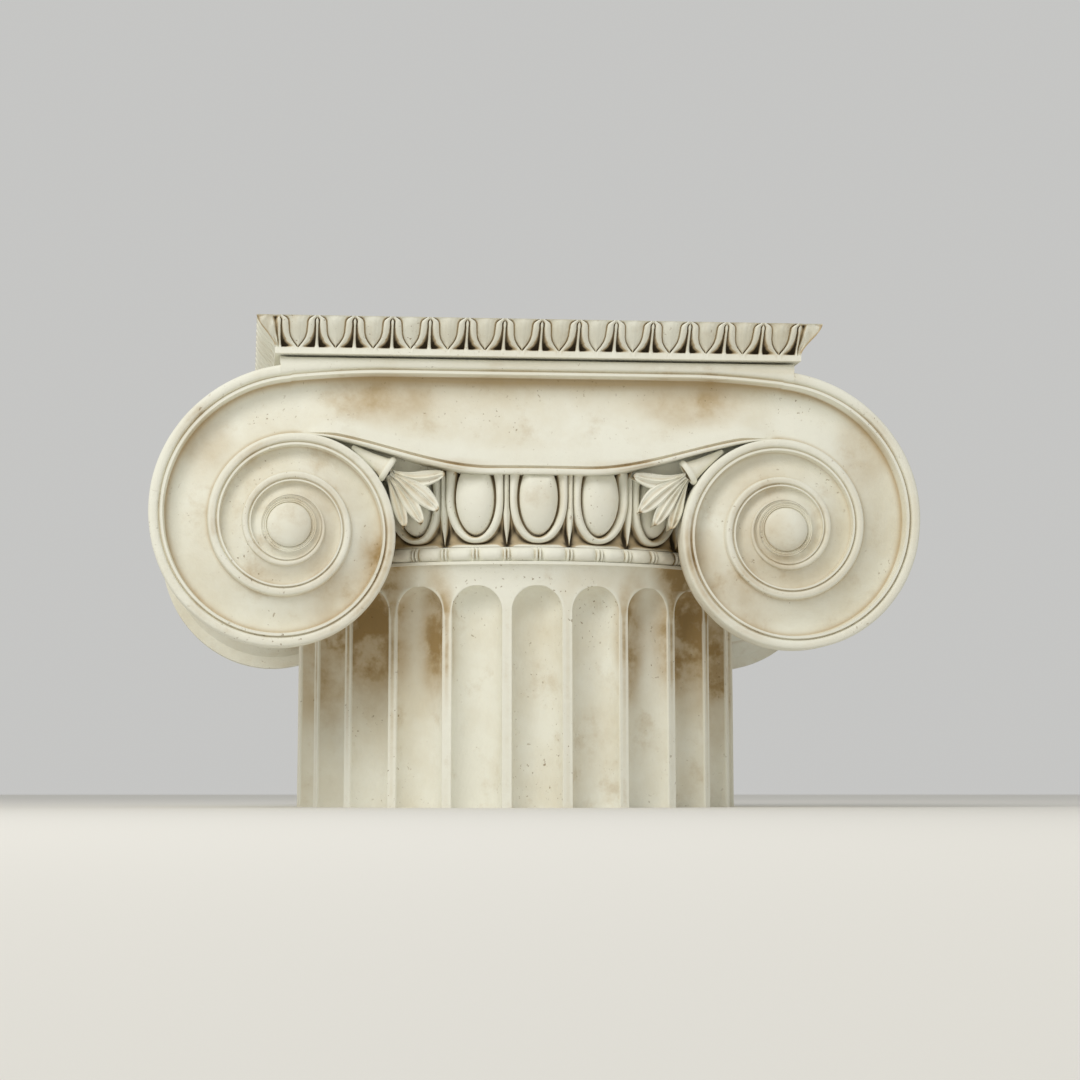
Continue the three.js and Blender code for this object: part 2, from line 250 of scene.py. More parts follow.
def mark_hollows(mesh, hollow_shade_and_dust, spread=6):
    """Store how deep each point lies below the surface around it, for painted shade and dust in the hollows,
    and how proud, for wear and a painted highlight on edges.
    """
    longest = 12 * MM               # a longer edge crosses plain stone, and says nothing of hollows
    count = len(mesh.vertices)
    co = np.empty(count * 3, np.float32)
    mesh.vertices.foreach_get("co", co)
    co = co.reshape(-1, 3).astype(np.float64)
    normals = np.empty(count * 3, np.float32)
    mesh.vertex_normals.foreach_get("vector", normals)
    normals = normals.reshape(-1, 3)
    ends = np.empty(len(mesh.edges) * 2, np.int32)
    mesh.edges.foreach_get("vertices", ends)
    a, b = ends[0::2], ends[1::2]
    near = np.linalg.norm(co[a] - co[b], axis=1) < longest
    a, b = a[near], b[near]

    def over_neighbours(values):
        return np.bincount(a, values[b], minlength=count) + np.bincount(b, values[a], minlength=count)

    degree = np.bincount(a, minlength=count) + np.bincount(b, minlength=count)
    soft = co.copy()
    for _ in range(spread):
        total = np.stack([over_neighbours(soft[:, axis]) for axis in range(3)], axis=1)
        soft = np.where(degree[:, None] > 0, total / np.maximum(degree, 1)[:, None], soft)
    depth = ((soft - co) * normals).sum(axis=1) / MM
    for _ in range(2):
        depth = (over_neighbours(depth) + depth * 2) / (degree + 2)
    # a hollow's depth is scaled here for its painted shade and dust
    depth = np.where(depth > 0, depth * hollow_shade_and_dust, depth)
    depth = np.where(at_flat_end(co[:, 2]), 0, depth)
    layer = mesh.attributes.new("hollow", "FLOAT", "POINT")
    layer.data.foreach_set("value", depth.astype(np.float32))


# ---- volutes and the cushion between them ----

class Volute:
    """The left volute and the left half of the cushion, as functions of the way along the spiral."""
    ring = 53               # radius of the ring round the eye
    band_top = 858          # level of the band's top edge, under the abacus
    band_end = 497          # the band stops square here, above the first turn
    lip_centre = 638        # level of the lip at the middle of the front
    lip_flat = 90           # half the length of its level stretch
    shoulder = 5.6          # the first quarter turn stands this much higher
    rim_taper = 0.78        # each turn's rim as a share of the one outside it
    full_width = 110        # a turn narrower than this is carved shallower in proportion
    turn_from = 380         # from here out the lip becomes the next turn's rim
    slab = 62               # thickness of the carved face

    def __init__(self, s):
        self.s = s
        self.turns_to_eye = 0.25 + math.log(self.ring / s["reach"]) / math.log(s["shrink"])

    def reach(self, turns):
        """From the eye to the outer edge of the rim, so many turns from the top of the first."""
        lift = np.clip(1 - 4 * turns, 0, 1) * self.shoulder
        return np.maximum(self.s["reach"] * self.s["shrink"] ** (turns - 0.25) + lift, self.ring)

    def rim(self, turns):
        """Width of the rim, bead and fillet together."""
        turns = np.clip(turns, 0, self.turns_to_eye)
        plain = (self.s["rim"] + 1) * self.rim_taper ** turns * (1 - 0.2 * smooth(turns - 2))
        return np.minimum(plain, 0.5 * (self.reach(turns) - self.reach(turns + 1)))

    def edge(self, turns):
        """Depth of the rim's outer edge below its crown."""
        return 0.22 * self.rim(turns)

    def lip(self, x):
        """Level of the lip's lower edge."""
        share = (np.abs(x) - self.lip_flat) / (self.s["eye_x"] - self.lip_flat)
        return mix(self.lip_centre, self.s["eye_level"] + self.reach(1.0), smooth(share))

    @staticmethod
    def across_turn(across, c):
        """Way in from the rim's outer edge, and depth below the rims' plane, at a share of one turn."""
        wall_foot, sag, bead_step, fillet = c["depth"] * 0.93, c["depth"] * 0.12, 1.8, 1.2
        ends = (0.0, 0.20, 0.26, 0.36, 0.50, 0.80, 0.86, 0.88, 1.0)
        ways = (0 * c["width"], c["bead"], c["bead"] + 2, c["rim"], c["rim"] + c["wall"],
                c["width"] - c["rise"], c["width"] - c["lip"], c["width"] - c["lip"], c["width"])
        way = np.zeros_like(c["width"])
        deep = np.zeros_like(c["width"])
        for zone in range(8):
            u = np.clip((across - ends[zone]) / (ends[zone + 1] - ends[zone]), 0, 1)
            here = (across > ends[zone]) | (zone == 0)
            way = np.where(here, mix(ways[zone], ways[zone + 1], u), way)
            round_bead = 1 - np.sqrt(np.clip(1 - (2 * u - 1) ** 2, 0, 1))
            groove = c["foot"] + c["groove"] * np.sin(np.clip(u, 0, 1) * math.pi)
            lip = 1.5 + 2.0 * (2 * u - 1) ** 4
            share = (across - 0.80) / 0.20
            rising = mix(c["foot"], c["next_edge"], np.clip(share, 0, 1))
            shape = (
                c["edge"] * round_bead,                                     # the rim's bead
                c["edge"] + bead_step + 0 * u,                              # the cut beside it
                fillet + 0 * u,                                             # the rim's fillet
                mix(fillet, wall_foot, np.sin(u * math.pi / 2)),            # the channel's wall
                mix(wall_foot, c["foot"], smooth(u)) + sag * np.sin(u * math.pi),   # and its floor
                mix(groove, rising, c["toward"]),                           # the groove above the lip
                mix(mix(c["foot"], 3.5, u), rising, c["toward"]),           # the lip's upper edge
                mix(lip, rising, c["toward"]),                              # the lip
            )[zone]
            deep = np.where(here, shape, deep)
        return way, deep

    def sheet(self, per_turn, per_half, rows):
        """Columns and rows of the left half of a face, and the function that places them."""
        s = self.s
        step_at = math.asin((self.band_end - s["eye_x"]) / float(self.reach(0.0))) / (2 * math.pi)
        spread = np.arange(1, per_turn) / per_turn
        # the step is there twice, once for each side of the band's square end
        offsets = np.concatenate([[0.0, step_at, step_at], spread[spread > step_at]])
        turns = np.concatenate([offsets + k for k in range(4)])
        turns = np.append(turns[turns < self.turns_to_eye], self.turns_to_eye)
        xs = -s["eye_x"] * np.arange(per_half) / per_half
        columns = per_half + len(turns) - 1
        droop, droop_from, droop_to = 13.8, 300, 493        # the band's rim widens towards its end

        def place(i, j):
            across = j / rows
            on_band = i < per_half
            x_band = xs[np.clip(i, 0, per_half - 1)]
            t = turns[np.clip(i - per_half, 0, len(turns) - 1)]
            # the band's square end: its last two columns keep the band's level
            square = (i == per_half) | (i == per_half + 1)
            free = self.reach(t)
            level = (self.band_top - s["eye_level"]) / np.cos(2 * math.pi * np.clip(t, 0, step_at))
            outer = np.where(square, level, free)
            width = np.where(on_band, self.band_top - self.lip(x_band), outer - self.reach(t + 1))
            widening = droop * np.clip((np.abs(x_band) - droop_from) / (droop_to - droop_from), 0, 1) ** 1.6
            extra = np.where(on_band, widening, np.where(square, outer - free, 0))
            depth = s["channel"] * np.minimum(1, (width - extra) / self.full_width)
            past = (np.abs(x_band) - self.turn_from) / (s["eye_x"] - self.turn_from)
            toward = np.where(on_band, smooth(past), 1.0)
            rim = self.rim(t)
            rise = 0.06 * depth
            lip = mix(mix(11, 5, smooth(np.abs(x_band) / s["eye_x"])), rise * 0.6, toward)
            way, deep = self.across_turn(across, {
                "width": width,
                "rim": rim + extra,
                "bead": rim * 0.70 + extra,
                "edge": self.edge(t),
                "next_edge": self.edge(t + 1),
                "wall": np.minimum(depth, width - extra) * 0.10,
                "depth": depth,
                "foot": mix(9.0, 0.5 * depth, toward),
                "groove": 5.0,
                "lip": lip,
                "rise": mix(lip + 6.0, rise, toward),
                "toward": toward,
            })
            reach = outer - way
            angle = math.pi / 2 + t * 2 * math.pi
            x = np.where(on_band, x_band, -s["eye_x"] + reach * np.cos(angle))
            z = np.where(on_band, self.band_top - way, s["eye_level"] + reach * np.sin(angle))
            return x, deep - s["face_distance"], z

        return columns, rows, place


def face_mesh(s, per_turn, per_half, rows):
    """The front face, with so many columns to a turn and to half the band, and rows across it."""
    volute = Volute(s)
    bm = grid(*volute.sheet(per_turn, per_half, rows))
    with_mirror(bm, 0)
    bmesh.ops.remove_doubles(bm, verts=bm.verts, dist=WELD)
    carried_back(bm, volute.slab - s["face_distance"])
    return bm


class CAPITAL_OT_faces(Operator):
    """Carve the two faces: a channel along the cushion that winds into a volute at both ends"""
    bl_idname = "capital.faces"
    bl_label = "Volute faces"

    def execute(self, context):
        # the front is carved finer, since it is the side that is seen closest
        front = face_mesh(sizes(), per_turn=200, per_half=120, rows=50)
        piece("front_volutes", front, "capital", limestone())
        back = face_mesh(sizes(), per_turn=120, per_half=60, rows=36)
        bmesh.ops.scale(back, vec=(1, -1, 1), verts=back.verts)
        piece("back_volutes", back, "capital", limestone())
        return {"FINISHED"}


class CAPITAL_OT_eyes(Operator):
    """Turn the four domed eyes, each in its fine rings"""
    bl_idname = "capital.eyes"
    bl_label = "Volute eyes"

    def execute(self, context):
        s = sizes()
        dome, rise, base, back = 42.6, 18.0, 2.0, -40.0
        rings, per_ring, ring_top, ring_depth = 3, 6, 0.8, 2.2
        seat, seat_level = Volute.ring + 0.4, -3.2
        profile = [(0, back), (seat, back), (seat, seat_level)]
        for k in range(per_ring * rings):
            share = k / (per_ring * rings)
            wave = abs(math.cos(share * rings * math.pi))
            profile.append((Volute.ring - share * (Volute.ring - dome), ring_top - ring_depth * wave))
        steps = 20
        for k in range(steps + 1):
            lift = k / steps * math.pi / 2
            profile.append((dome * math.cos(lift), (rise + base) * math.sin(lift) - base))
        whole = bmesh.new()
        for x in (-1, 1):
            for y in (-1, 1):
                eye = turned(profile, 96)
                bmesh.ops.rotate(eye, cent=(0, 0, 0), verts=eye.verts,
                                 matrix=Matrix.Rotation(-y * math.pi / 2, 3, "X"))
                centre = Vector((x * s["eye_x"], y * s["face_distance"], s["eye_level"])) * MM
                bmesh.ops.translate(eye, verts=eye.verts, vec=centre)
                join(whole, eye)
        piece("volute_eyes", whole, "capital", limestone())
        return {"FINISHED"}


class CAPITAL_OT_bolsters(Operator):
    """Carve the two bolsters that join the front volutes to the back ones"""
    bl_idname = "capital.bolsters"
    bl_label = "Bolsters"

    def execute(self, context):
        s = sizes()
        volute = Volute(s)
        around, closing, along = 170, 10, 150
        cover = 12                          # stone left between a bolster's end and the channel's floor
        half = s["face_distance"] - s["channel"] - cover
        waist, flare = 0.56, 0.985          # sizes at the middle and the ends, as shares of the volute's
        strap, strap_rise = 42.0, 0.035     # the strap's half width, and its rise on the same scale
        collar_at, collar_half, collar_rise = 0.86, 12, 0.02
        clearance, neck_top = 487.0, 503.0  # below this level, the radius that is left to the shaft
        inset = 3                           # below the rim's outer edge
        top = s["eye_level"] + volute.reach(0.0) - inset

        def place(i, j):
            y = 2 * j / along - 1
            y = half * np.sign(y) * np.abs(y) ** 0.9
            away = np.abs(y)
            t = np.clip(i / around, 0, 1)
            reach = volute.reach(t) - inset
            angle = math.pi / 2 + t * 2 * math.pi
            x, z = -s["eye_x"] + reach * np.cos(angle), s["eye_level"] + reach * np.sin(angle)
            back_up = np.clip((i - around) / closing, 0, 1)
            z = np.where(i > around, mix(z, top, back_up), z)
            bead = bump(away, strap - 7, 7)
            swell = strap_rise * np.minimum(0.62 * (away < strap - 13) + bead + 0.2 * (away < strap), 1)
            collar = collar_rise * bump(away, half * collar_at, collar_half)
            scale = waist + (flare - waist) * (away / half) ** 2.2 + swell + collar
            x = -s["eye_x"] + (x + s["eye_x"]) * scale
            z = top + (z - top) * scale
            # hollowed round the neck of the shaft
            r = np.hypot(x, y)
            cut = (z < neck_top) & (r < clearance)
            x = np.where(cut, x * clearance / r, x)
            y = np.where(cut, y * clearance / r, y)
            return x, y, z

        bm = grid(around + closing, along, place)
        capped(bm)
        with_mirror(bm, 0)
        piece("bolsters", bm, "capital", limestone())
        return {"FINISHED"}


# ---- egg and dart ----

class CAPITAL_OT_echinus(Operator):
    """Carve the egg and dart round the echinus"""
    bl_idname = "capital.echinus"
    bl_label = "Egg and dart"

    def execute(self, context):
        rays, rings = 96, 42
        foot, head = 500.3, 652.0
        middle = 594.0
        core, swell = 468, 18               # the echinus's radius at its foot, and how far it swells out
        half_bay = math.pi * (core + swell) / EGGS
        half_width, below, above = 38.4, 70.0, 72.0
        groove, shell, shell_below = 4.0, 16.5, 11.5

        def oval(angle, a, b_below, b_above, power=2.0):
            """Distance from the middle to an oval's outline, at an angle from straight down."""
            b = np.where(np.cos(angle) > 0, b_below, b_above)
            return (np.abs(np.sin(angle) / a) ** power + np.abs(np.cos(angle) / b) ** power) ** (-1 / power)

        def dart_half(z):
            """Half the dart's width at a level."""
            up = z - foot
            return np.interp(up, (0, 6, 30, 56, 90, 152), (0.3, 1.2, 5.6, 7.4, 6.0, 6.6))

        def place(i, j):
            angle = i / rays * 2 * math.pi
            share = j / rings
            sx, cz = np.sin(angle), -np.cos(angle)
            # the bay's frame, as a distance along this ray
            to_side = half_bay / np.maximum(np.abs(sx), 1e-6)
            to_end = np.where(cz < 0, middle - foot, head - middle) / np.maximum(np.abs(cz), 1e-6)
            frame_at = np.minimum(to_side, to_end)
            egg_at = np.minimum(oval(angle, half_width, below, above), frame_at - 8)
            a = half_width + groove
            groove_at = np.minimum(oval(angle, a, below + groove, 90.0), frame_at - 6)
            shell_out = oval(angle, a + shell - 1.5, below + groove + shell_below, 400.0, 2.25)
            shell_at = np.minimum(shell_out, frame_at - 3)
            side_z = middle + frame_at * cz
            dart_at = (half_bay - dart_half(side_z)) / np.maximum(np.abs(sx), 1e-6)
            dart_at = np.clip(dart_at, shell_at + 1.2, frame_at - 0.6)
            ends = (0, 0.36, 0.42, 0.46, 0.70, 0.72, 0.86, 1.0)
            ats = (0 * angle, egg_at, egg_at + 0.6, groove_at, shell_at, shell_at + 0.6, dart_at, frame_at)
            reach = np.zeros_like(angle)
            rise = np.zeros_like(angle)
            low = smooth((middle + frame_at * cz * share - foot) / 34)
            recess = mix(-7, -21, low)
            for zone in range(7):
                u = np.clip((share - ends[zone]) / (ends[zone + 1] - ends[zone]), 0, 1)
                here = (share > ends[zone]) | (zone == 0)
                far = np.sin(u * math.pi / 2) if zone == 0 else u
                reach = np.where(here, mix(ats[zone], ats[zone + 1], far), reach)
                shape = (
                    -15 + 20 * np.sqrt(np.clip(1 - np.sin(u * math.pi / 2) ** 2.4, 0, 1)),  # the egg
                    -19 - 5 * u,                                # its undercut edge
                    -24 + 0 * u,                                # the groove round it
                    -3.0 - 7 * np.abs(2 * u - 1.1) ** 2.2,      # the shell
                    mix(-11, recess, u),                        # the shell's outer edge
                    recess,                                     # the ground
                    -4 - 8 * (1 - u) ** 1.3,                    # half of the dart
                )[zone]
                rise = np.where(here, shape, rise)
            x = reach * sx
            z = middle + reach * cz
            # down at its foot the moulding dies into the top of the bead and reel
            rise = np.where(z < foot + 8, mix(-7, rise, smooth((z - foot) / 8)), rise)
            round_out = np.clip((z - foot) / 100, 0, 1)
            radius = core + swell * np.sin(round_out * math.pi / 2) + rise
            turn = FRONT + x / (core + swell)
            return radius * np.cos(turn), radius * np.sin(turn), z

        bay = grid(rays, rings, place)
        whole = bmesh.new()
        for k in range(EGGS):
            copy = bay.copy()
            bmesh.ops.rotate(copy, cent=(0, 0, 0), verts=copy.verts,
                             matrix=Matrix.Rotation(k * 2 * math.pi / EGGS, 3, "Z"))
            join(whole, copy)
        bay.free()
        bmesh.ops.remove_doubles(whole, verts=whole.verts, dist=BAY_WELD)
        capped(whole)
        piece("egg_and_dart", whole, "capital", limestone(), sharp=50, hollow_shade_and_dust=1.0)
        return {"FINISHED"}


# ---- abacus ----

class CAPITAL_OT_abacus(Operator):
    """Carve the abacus, with its leaves and darts"""
    bl_idname = "capital.abacus"
    bl_label = "Leaf and dart"

    def execute(self, context):
        s = sizes()
        foot, fillet, top = 862.0, 873.0, 930.0
        run = 500.0                         # centre line to the dart beside the corner
        unit = 2 * run / LEAVES
        half_unit = unit / 2
        per_leaf, corner, rise_rows = 44, 16, 34
        columns = LEAVES * per_leaf + 2 * corner
        # level up the moulding: half widths of the dart, and of its arch's inner and outer edges
        levels = (0.0, 0.10, 0.20, 0.35, 0.50, 0.70, 0.82, 0.88, 0.92, 0.96, 1.0)
        dart = (4.4, 3.6, 2.9, 2.4, 2.2, 2.1, 3.0, 2.6, 0.4, 0.2, 0.2)
        inner = (29.0, 23.0, 17.0, 10.5, 7.4, 5.6, 5.4, 4.8, 3.0, 0.5, 0.4)
        outer = (35.0, 31.0, 26.0, 20.5, 18.0, 17.0, 16.4, 15.0, 12.6, 9.0, 4.0)
        ends = (0.0, 0.14, 0.20, 0.27, 0.55, 0.60, 0.66, 1.0)

        def place(i, j):
            up = np.clip((j - 3) / (rise_rows - 3), 0, 1)
            up = 1 - (1 - up) ** 1.15
            band = foot + (fillet - foot) * np.where(j == 1, 0.12, 1)
            z = np.where(j == 0, foot, np.where(j < 3, band, mix(fillet, top, up)))
            half = s["abacus_foot"] + (s["abacus_top"] - 1 - s["abacus_foot"]) * smooth(up)
            d, b_in, b_out = (np.interp(up, levels, widths) for widths in (dart, inner, outer))
            # place within a leaf: 0 at a dart, 1 halfway to the next
            k = i - corner
            within = (k % per_leaf) / per_leaf
            q = 1 - np.abs(2 * within - 1)
            ats = [0 * d, d, d + 0.5, b_in, b_out, b_out + 0.5, b_out + 2.2, half_unit + 0 * d]
            for n in range(1, 7):
                ats[n] = np.minimum(np.maximum(ats[n], ats[n - 1] + 0.2), half_unit - 0.2 * (7 - n))
            out = np.zeros_like(up)
            rise = np.zeros_like(up)
            arch_open = 1 - smooth((up - 0.90) / 0.06)
            for zone in range(7):
                u = np.clip((q - ends[zone]) / (ends[zone + 1] - ends[zone]), 0, 1)
                here = (q > ends[zone]) | (zone == 0)
                out = np.where(here, mix(ats[zone], ats[zone + 1], u), out)
                vein = np.abs(np.sin((u + 0.08) * math.pi * 2.6)) * smooth((u - 0.1) * 4)
                ground = -13 * arch_open - 1.8 * (1 - arch_open)
                shape = (
                    -(2.0 + 3 * u ** 2) * arch_open - 1.5 * (1 - arch_open),    # half of the dart
                    ground, ground,                                             # the ground beside it
                    -0.3 - 2.8 * np.abs(2 * u - 1) ** 2,                        # the arch
                    -10 + 0 * u, -10 + 0 * u,                                   # the groove round it
                    -2.2 - 5.0 * (1 - u) ** 1.6 + 1.5 * vein,                   # half of the leaf
                )[zone]
                rise = np.where(here, shape, rise)
            side = np.where(within > 0.5, -1, 1)
            base = -run + (np.floor(k / per_leaf) + (within > 0.5)) * unit
            along = base + side * out
            # beside the corners a leaf folds over the mitre
            in_corner = (k < 0) | (k > LEAVES * per_leaf)
            c = np.where(k < 0, -k, k - LEAVES * per_leaf) / corner
            fold = np.where(k < 0, -1, 1)
            along = np.where(in_corner, fold * (run + (half - run) * c), along)
            lobes = np.abs(np.sin((c * 1.5 + up * 2.2) * math.pi))
            cut = 9 * np.clip(1 - np.abs(c - 0.18) / 0.14, 0, 1)
            rise = np.where(in_corner, -2.0 - cut - 3.2 * lobes * np.clip((1 - c) * 3, 0, 1), rise)
            carved = np.clip(np.minimum(up * 16, (1 - up) * 24 + 0.30), 0, 1)
            deep = np.where(j <= 3, 0, rise * carved)
            return along, -half - np.where(c * in_corner >= 1, 0, deep), z

        side = grid(columns, rise_rows, place)
        whole = bmesh.new()
        for k in range(4):
            copy = side.copy()
            bmesh.ops.rotate(copy, cent=(0, 0, 0), verts=copy.verts,
                             matrix=Matrix.Rotation(k * math.pi / 2, 3, "Z"))
            join(whole, copy)
        side.free()
        bmesh.ops.remove_doubles(whole, verts=whole.verts, dist=BAY_WELD)
        capped(whole)
        piece("abacus_leaf_and_dart", whole, "capital", limestone(), sharp=50, hollow_shade_and_dust=0.8)
        return {"FINISHED"}


def leaf(base, tip, half_width, bow, front, back):
    """One leaf of a palmette from [x, z] base to tip, hollowed either side of its midrib."""
    across, behind, along = 20, 4, 30
    (bx, bz), (tx, tz) = base, tip
    span = math.hypot(tx - bx, tz - bz)
    dx, dz = (tx - bx) / span, (tz - bz) / span

    def place(i, j):
        s = j / along
        v = np.where(i <= across, 2 * i / across - 1, 1 - 2 * (i - across) / behind)
        swelling = mix(0.34, 1.0, smooth(s / 0.66))
        closing = np.sqrt(np.clip(1 - (np.clip(s - 0.60, 0, 1) / 0.40) ** 1.7, 0, 1))
        half = np.maximum(half_width * swelling * closing, 0.4)
        side = bow * np.sin(np.clip(s, 0, 1) * math.pi) ** 1.2
        half = half * np.where(i > across, 0.86, 1)
        x = bx + dx * span * s - dz * (side + half * v)
        z = bz + dz * span * s + dx * (side + half * v)
        midrib = 2.6 * np.exp(-(v / 0.10) ** 2)
        trough = -4.0 * np.abs(np.sin(np.clip(np.abs(v) * 1.25, 0, 1) * math.pi)) ** 0.8
        edge = -6.0 * np.abs(v) ** 6
        roots = smooth(s / 0.25)
        lift = 5 * smooth((s - 0.3) / 0.6) - 5 * (1 - roots)
        y = -front - lift - (midrib + trough + edge) * mix(0.5, 1, roots) * smooth((1.02 - s) / 0.2)
        y = np.where((i > across) & (i < across + behind), -back, y)
        return x, y, z

    bm = grid(across + behind, along, place)
    capped(bm)
    return bm


class CAPITAL_OT_palmettes(Operator):
    """Carve the four small palmettes between the volutes and the egg and dart"""
    bl_idname = "capital.palmettes"
    bl_label = "Palmettes"

    def execute(self, context):
        whole = bmesh.new()
        # each leaf's base, tip, half width, bow, and distances of its front and back from the axis
        for shape in (
                ((-286, 641), (-182, 637), 16.0, -11, 478, 436),
                ((-284, 640), (-194, 568), 18.5, 4, 480, 430),
                ((-288, 636), (-224, 543), 15.5, 3, 476, 420),
                ((-290, 634), (-257, 536), 14.0, 2, 470, 410)):
            join(whole, leaf(*shape))
        # the sheath that they grow from: a cone that ends in a rolled lip
        profile = [(0, 0), (4, 0), (8, 22), (12, 44), (17.5, 66), (20, 73)]
        for k in range(13):
            turn = math.radians(20 * k - 90)
            profile.append((21 + 5.6 * math.cos(turn), 80 + 6.2 * math.sin(turn)))
        profile += [(10, 82), (0, 78)]
        sheath = turned(profile, 48)
        bmesh.ops.scale(sheath, vec=(1, 0.72, 1), verts=sheath.verts)
        foot, mouth, out = (-359, 689), (-275, 636), 470
        lean = math.atan2(mouth[0] - foot[0], mouth[1] - foot[1])
        bmesh.ops.rotate(sheath, cent=(0, 0, 0), verts=sheath.verts, matrix=Matrix.Rotation(lean, 3, "Y"))
        bmesh.ops.translate(sheath, verts=sheath.verts, vec=Vector((foot[0], -out, foot[1])) * MM)
        join(whole, sheath)
        with_mirror(whole, 0)
        with_mirror(whole, 1)
        piece("palmettes", whole, "capital", limestone(), sharp=60, hollow_shade_and_dust=0.6)
        return {"FINISHED"}


class CAPITAL_OT_cushion(Operator):
    """Block out the cushion between the faces, under the abacus"""
    bl_idname = "capital.cushion"
    bl_label = "Cushion"

    def execute(self, context):
        bm = bmesh.new()
        bmesh.ops.create_cube(bm, size=1)
        low, high, eased = (-486, -438, 640), (486, 438, 866), 6
        bmesh.ops.scale(bm, vec=[(h - l) * MM for l, h in zip(low, high)], verts=bm.verts)
        bmesh.ops.translate(bm, vec=[(h + l) / 2 * MM for l, h in zip(low, high)], verts=bm.verts)
        bmesh.ops.bevel(bm, geom=bm.edges[:], offset=eased * MM, segments=3, affect="EDGES", profile=0.5,
                        material=-1)
        piece("cushion", bm, "capital", limestone())
        return {"FINISHED"}


# ---- shaft ----

class CAPITAL_OT_shaft(Operator):
    """Carve the top of the fluted shaft, up to the fillet under the bead and reel"""
    bl_idname = "capital.shaft"
    bl_label = "Fluted shaft"

    def execute(self, context):
        s = sizes()
        radius = s["shaft_radius"]
        flute_top, neck_top, astragal_foot = 427.0, 466.0, 472.5
        fillet = 0.044 * radius
        half_bay = math.pi * radius / FLUTES
        flute = half_bay - fillet / 2
        spring = flute_top - flute
        levels = np.concatenate([
            np.linspace(0, spring, 26),
            spring + flute * np.sin(np.linspace(0, math.pi / 2, 20))[1:],
            np.linspace(flute_top, neck_top - 1.5, 12)[1:],
            [neck_top, neck_top + 0.4, astragal_foot - 0.8, astragal_foot],
        ])
        outs = np.concatenate([np.zeros(len(levels) - 3), [5.2, 5.6, 4.8]])
        in_flute, on_fillet = 14, 5
        per_half = in_flute + on_fillet
        columns = FLUTES * 2 * per_half

        def place(i, j):
            z = levels[j]
            taper = 2.25 * (1 - z / 400) * (z < 400)
            flare = 13.5 * np.clip((z - 418) / 48, 0, 1) ** 2
            body = radius + taper + flare + outs[j]
            k = i % (2 * per_half)
            c = np.minimum(k, 2 * per_half - k)         # columns from the middle of a flute
            side = np.where(k >= per_half, -1, 1)
            bay = np.floor((i + per_half) / (2 * per_half))
            w = np.sqrt(np.clip(flute ** 2 - np.clip(z - spring, 0, None) ** 2, 1, None))
            psi = np.clip(c / in_flute, 0, 1) * math.pi / 2
            x = w * np.sin(psi)
            deep = np.where(z < flute_top, 0.92 * w * np.cos(psi), 0)
            share = np.clip((c - in_flute) / on_fillet, 0, 1)
            x = np.where(c > in_flute, mix(w, half_bay, share ** 1.6), x)
            deep = np.where(c >= in_flute, 1.1 * (1 - np.clip(share * 5, 0, 1)) * (z < flute_top), deep)
            turn = FRONT + 2 * math.pi * bay / FLUTES + side * x / radius
            return (body - deep) * np.cos(turn), (body - deep) * np.sin(turn), z

        bm = grid(columns, len(levels) - 1, place)
        capped(bm)
        piece("fluted_shaft", bm, "shaft_top", limestone(), hollow_shade_and_dust=0.10)
        return {"FINISHED"}


class CAPITAL_OT_astragal(Operator):
    """Carve the long beads and thin reels round the neck"""
    bl_idname = "capital.astragal"
    bl_label = "Bead and reel"

    def execute(self, context):
        s = sizes()
        foot, head = 472.5, 500.0
        middle, half = (foot + head) / 2, (head - foot) / 2
        outside, inside = 1.0545 * s["shaft_radius"], 440.0
        bead, reel, reel_at = 24.5, 5.0, 27.6
        # columns from a bead's middle to the end of its bay, closer together round the bead's end
        # and round the reel
        spots = np.array([0, 4, 8, 12, 15.5, 18.5, 20.8, 22.5, 23.6, 24.2, 24.5, 24.9, 25.3, 26.2, 27.6,
                          29.0, 30.0, 30.4, 31.0])
        spots = spots / spots[-1] * math.pi * outside / BEADS
        per_bay, outer_rows, inner_rows = 2 * (len(spots) - 1), 16, 3

        def size_at(x):
            """Height of the section at a distance from a bead's middle."""
            long_bead = np.sqrt(np.clip(1 - (x / bead) ** 3, 0, 1))
            disc = 0.90 * np.clip(1 - np.abs((x - reel_at) / (reel / 2)) ** 4, 0, 1) ** 0.5
            return np.maximum(np.maximum(long_bead, disc), 0.30)

        def place(i, j):
            k = i % per_bay
            c = np.minimum(k, per_bay - k)
            x = spots[c]
            side = np.where(k >= per_bay // 2, -1, 1)
            number = np.floor((i + per_bay // 2) / per_bay) + 0.5
            size = size_at(x)
            lift = np.clip(j / outer_rows - 0.5, -0.5, 0.5) * math.pi
            core = outside - half
            r = core + half * size * np.cos(lift)
            z = middle + half * np.sin(lift) * mix(1, size, np.cos(lift))
            behind = j - outer_rows
            r = np.where((behind == 1) | (behind == 2), inside, r)
            z = np.where(behind == 1, head, np.where(behind >= 2, foot, z))
            r = np.where(behind == inner_rows, core, r)
            turn = FRONT + number * 2 * math.pi / BEADS + side * x / outside
            return r * np.cos(turn), r * np.sin(turn), z

        bm = grid(BEADS * per_bay, outer_rows + inner_rows, place)
        piece("bead_and_reel", bm, "shaft_top", limestone(), sharp=55, hollow_shade_and_dust=0.9)
        return {"FINISHED"}


# ---- material ----

def node(tree, kind, settings=None, links=None):
    """Add a shader node with its settings, its sockets' values and the links into it."""
    made = tree.nodes.new(kind)
    for key, value in (settings or {}).items():
        if isinstance(key, int) or key in made.inputs:
            made.inputs[key].default_value = value
        else:
            setattr(made, key, value)
    for key, source in (links or {}).items():
        tree.links.new(source, made.inputs[key])
    return made
